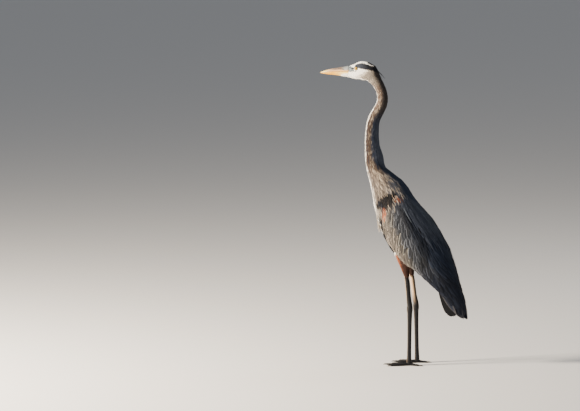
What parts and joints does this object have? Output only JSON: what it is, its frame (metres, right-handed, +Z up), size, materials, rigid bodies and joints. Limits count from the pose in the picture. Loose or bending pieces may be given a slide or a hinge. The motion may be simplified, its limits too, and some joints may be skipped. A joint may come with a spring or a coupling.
{
  "type": "great blue heron",
  "caption": "Life-size great blue heron standing erect on both feet, neck raised in a shallow S, bill level and wings folded over the back.",
  "frame": {"origin": "on the floor, under the middle of the whole bird's bounding box", "axes": "+Z up, -X the way the bill points, -Y the bird's left side, so Y = 0 is the bird's middle plane"},
  "size_m": [0.5896, 0.1684, 1.1875],
  "materials": {
    "plumage_white": "soft matt feathers, white to cream",
    "plumage_neck": "soft matt feathers, taupe grey",
    "plumage_slate": "matt feathers with a faint silky sheen, blue-grey",
    "plumage_dark": "matt feathers with a faint silky sheen, near black",
    "plumage_chestnut": "soft matt feathers, chestnut",
    "bill_horn": "satin horn, yellow-orange with a dusky ridge",
    "leg_skin": "dry scaly skin, dark grey-brown",
    "claw_horn": "satin horn, blackish",
    "eye_yellow": "wet and glossy, yellow iris round a black pupil"
  },
  "bodies": {
    "root": {"head": "plumage_white", "bill_upper": "bill_horn", "bill_lower": "bill_horn", "neck_upper": "plumage_neck", "neck_middle": "plumage_neck", "neck_lower": "plumage_neck", "trunk": "plumage_slate", "tail": "plumage_dark", "breast_plumes": "plumage_white", "eye_left": "eye_yellow", "eye_right": "eye_yellow", "wing_left": "plumage_slate", "wing_right": "plumage_slate", "primaries_left": "plumage_dark", "primaries_right": "plumage_dark", "thigh_left": "plumage_chestnut", "thigh_right": "plumage_chestnut", "shank_left": "leg_skin", "shank_right": "leg_skin", "tarsus_left": "leg_skin", "tarsus_right": "leg_skin", "crest_plume_left": "plumage_dark", "crest_plume_right": "plumage_dark", "toe_middle_left": "leg_skin", "claw_middle_left": "claw_horn", "toe_inner_left": "leg_skin", "claw_inner_left": "claw_horn", "toe_outer_left": "leg_skin", "claw_outer_left": "claw_horn", "toe_hind_left": "leg_skin", "claw_hind_left": "claw_horn", "toe_middle_right": "leg_skin", "claw_middle_right": "claw_horn", "toe_inner_right": "leg_skin", "claw_inner_right": "claw_horn", "toe_outer_right": "leg_skin", "claw_outer_right": "claw_horn", "toe_hind_right": "leg_skin", "claw_hind_right": "claw_horn"}
  },
  "joints": []
}
